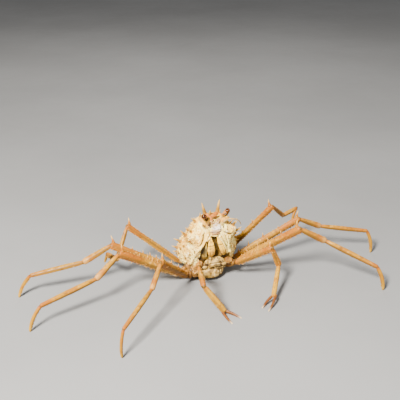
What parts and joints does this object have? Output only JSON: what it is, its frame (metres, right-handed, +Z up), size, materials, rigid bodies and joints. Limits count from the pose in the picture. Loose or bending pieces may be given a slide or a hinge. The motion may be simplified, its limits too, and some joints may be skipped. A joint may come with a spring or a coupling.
{
  "type": "giant homolid crab",
  "caption": "Still, life-size deep-sea crab standing on long thin spiny legs, with a boxy spined body, forked snout spines, slim claws and hooked rear legs.",
  "frame": {"origin": "on the floor, in the middle of the small flat under the folded tail, below the middle of the body", "axes": "+X to the crab's left, -Y the way the crab faces, +Z up from the floor"},
  "size_m": [0.5055, 0.2191, 0.1218],
  "materials": {
    "shell": "satin, grainy",
    "limb": "satin",
    "claw": "satin",
    "underside": "matte",
    "stalk": "satin",
    "eye": "glossy"
  },
  "bodies": {
    "root": {"abdomen": "underside", "carapace": "shell", "left_antenna": "limb", "left_antennule": "stalk", "left_claw_carpus": "limb", "left_claw_coxa": "limb", "left_claw_finger": "claw", "left_claw_merus": "limb", "left_claw_palm": "claw", "left_cornea": "eye", "left_eyestalk": "stalk", "left_leg2_stump": "limb", "left_leg3_carpus": "limb", "left_leg3_coxa": "limb", "left_leg3_dactylus": "limb", "left_leg3_merus": "limb", "left_leg3_propodus": "limb", "left_leg4_carpus": "limb", "left_leg4_coxa": "limb", "left_leg4_dactylus": "limb", "left_leg4_merus": "limb", "left_leg4_propodus": "limb", "left_leg5_carpus": "limb", "left_leg5_coxa": "limb", "left_leg5_dactylus": "limb", "left_leg5_merus": "limb", "left_leg5_propodus": "limb", "left_maxilliped": "limb", "right_antenna": "limb", "right_antennule": "stalk", "right_claw_carpus": "limb", "right_claw_coxa": "limb", "right_claw_finger": "claw", "right_claw_merus": "limb", "right_claw_palm": "claw", "right_cornea": "eye", "right_eyestalk": "stalk", "right_leg2_carpus": "limb", "right_leg2_coxa": "limb", "right_leg2_dactylus": "limb", "right_leg2_merus": "limb", "right_leg2_propodus": "limb", "right_leg3_carpus": "limb", "right_leg3_coxa": "limb", "right_leg3_dactylus": "limb", "right_leg3_merus": "limb", "right_leg3_propodus": "limb", "right_leg4_carpus": "limb", "right_leg4_coxa": "limb", "right_leg4_dactylus": "limb", "right_leg4_merus": "limb", "right_leg4_propodus": "limb", "right_leg5_carpus": "limb", "right_leg5_coxa": "limb", "right_leg5_dactylus": "limb", "right_leg5_merus": "limb", "right_leg5_propodus": "limb", "right_maxilliped": "limb", "sternum": "underside"}
  },
  "joints": []
}
